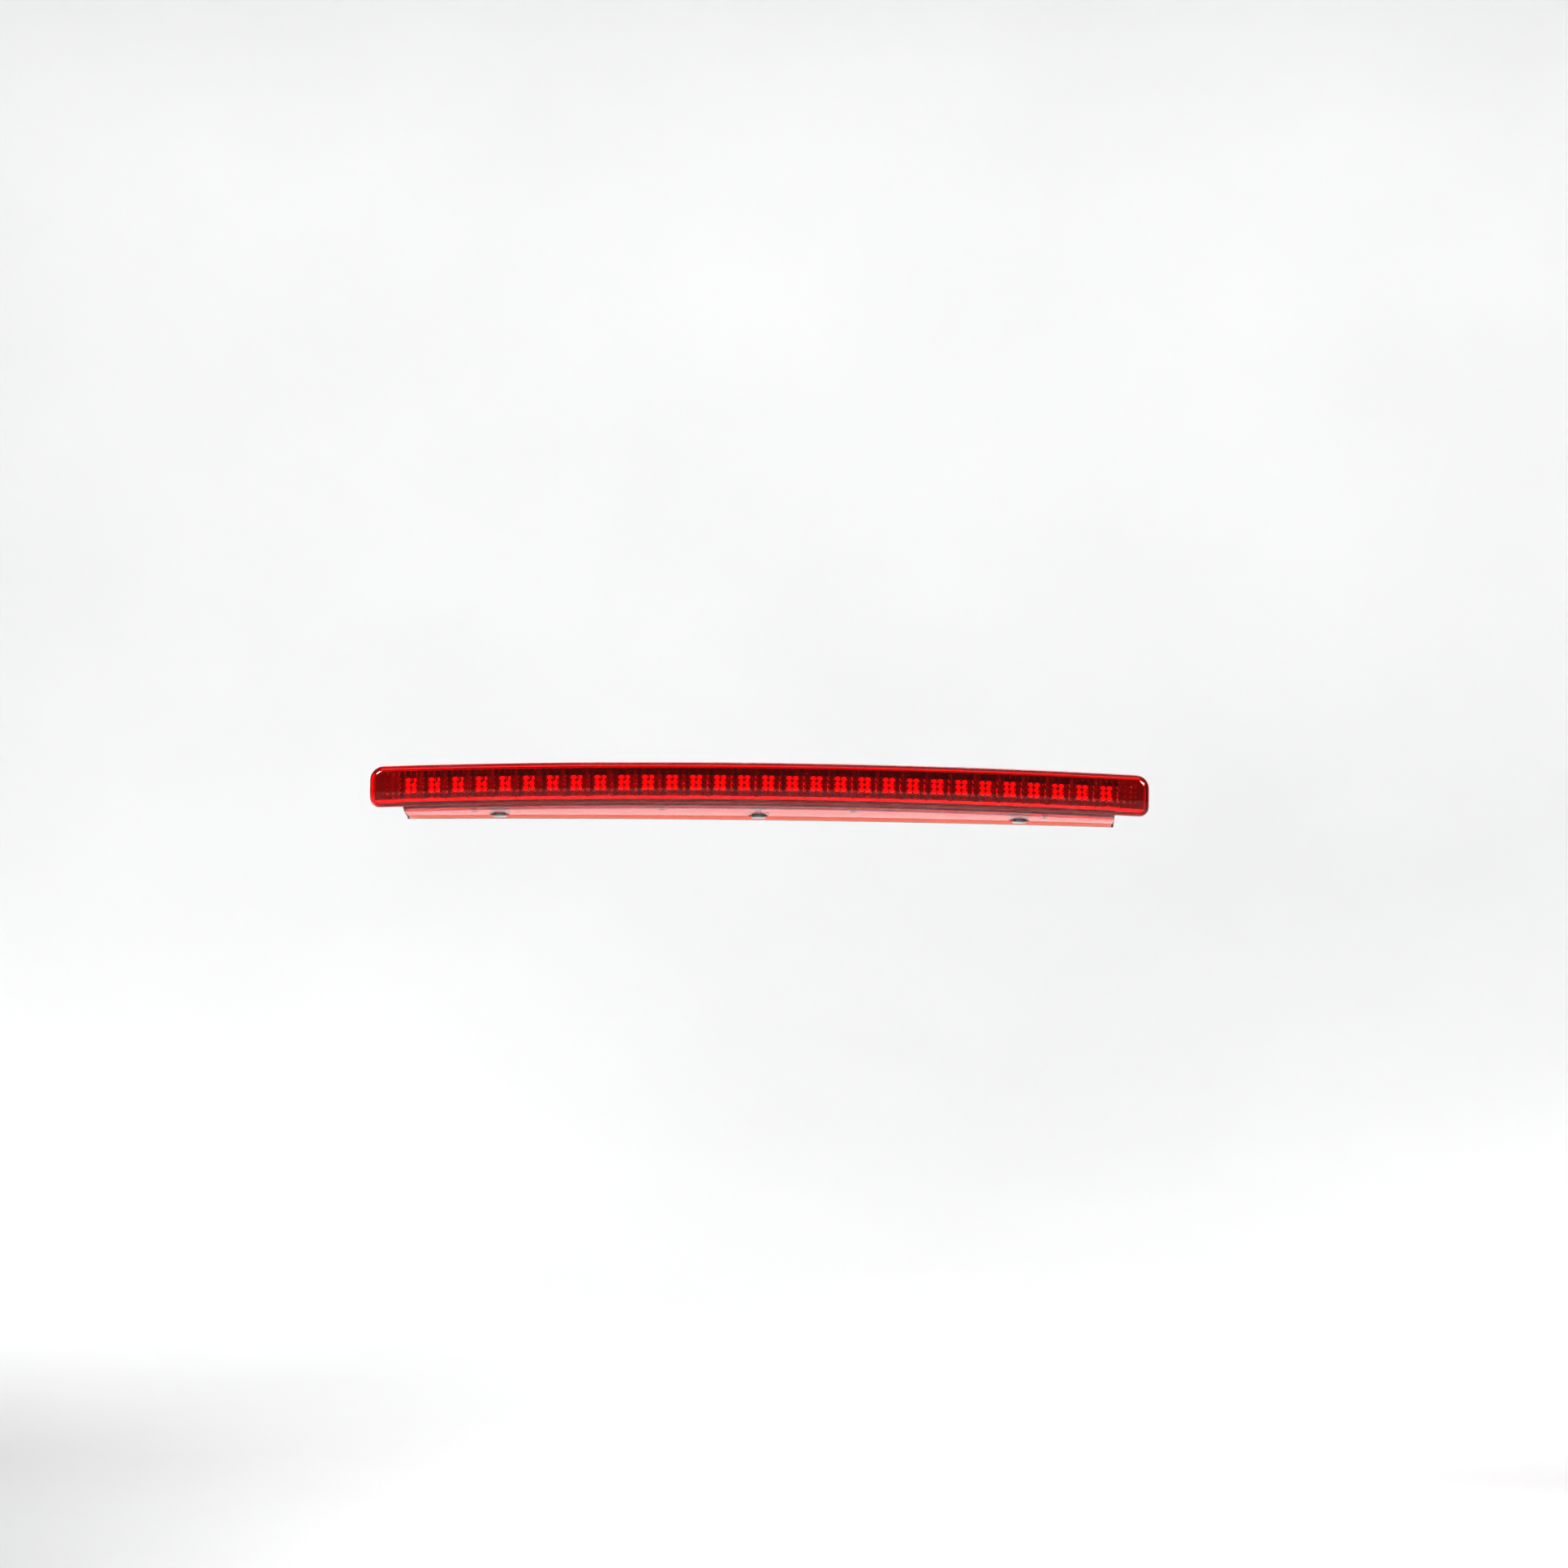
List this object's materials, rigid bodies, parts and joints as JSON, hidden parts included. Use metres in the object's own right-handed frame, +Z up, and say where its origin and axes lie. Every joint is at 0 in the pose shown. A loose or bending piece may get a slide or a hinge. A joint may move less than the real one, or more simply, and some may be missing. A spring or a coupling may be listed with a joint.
{
  "type": "third brake light",
  "caption": "Bowed high-level brake light: red acrylic lens with a wrap-under skirt, LED strip board, black housing and screws from below.",
  "frame": {"origin": "Axis of the middle mounting screw, in the plane of the three screw seats on top of the skirt", "axes": "+X along the lamp, +Y forward into the spoiler so the lit face looks along -Y, +Z up along the mounting screws"},
  "size_m": [0.414, 0.038, 0.0323],
  "materials": {
    "lens": "clear red acrylic, polished",
    "lens_seal": "grey butyl bead",
    "housing": "black ABS, fine grain",
    "reflector": "dark moulded plastic, satin",
    "circuit_board": "green solder mask on glass epoxy",
    "led_bodies": "red-tinted clear epoxy",
    "led_frames": "silver-plated, bright",
    "led_chips": "bare semiconductor",
    "solder_joints": "tin solder, bright",
    "resistors": "tan lacquer",
    "resistor_leads": "tinned copper wire",
    "diode": "black moulded epoxy",
    "diode_leads": "tinned copper wire",
    "board_screws": "zinc plated",
    "inlet_socket": "dark grey nylon",
    "inlet_terminals": "brass, bright",
    "inlet_seal": "orange silicone rubber",
    "mounting_screws": "bright zinc plated",
    "mounting_washers": "zinc plated",
    "screw_sleeves": "turned brass",
    "support_posts": "grey nylon",
    "foam_gasket": "closed-cell foam",
    "spring_clips": "blued spring steel",
    "vent_cap": "black rubber",
    "vent_membrane": "white porous membrane"
  },
  "bodies": {
    "root": {"lens": "lens", "lens_seal": "lens_seal", "housing": "housing", "reflector": "reflector", "circuit_board": "circuit_board", "led_bodies": "led_bodies", "led_frames": "led_frames", "led_chips": "led_chips", "solder_joints": "solder_joints", "resistors": "resistors", "resistor_leads": "resistor_leads", "diode": "diode", "diode_leads": "diode_leads", "board_screws": "board_screws", "inlet_socket": "inlet_socket", "inlet_terminals": "inlet_terminals", "inlet_seal": "inlet_seal", "mounting_screws": "mounting_screws", "mounting_washers": "mounting_washers", "screw_sleeves": "screw_sleeves", "support_posts": "support_posts", "foam_gasket": "foam_gasket", "spring_clips": "spring_clips", "vent_cap": "vent_cap", "vent_membrane": "vent_membrane"}
  },
  "joints": []
}
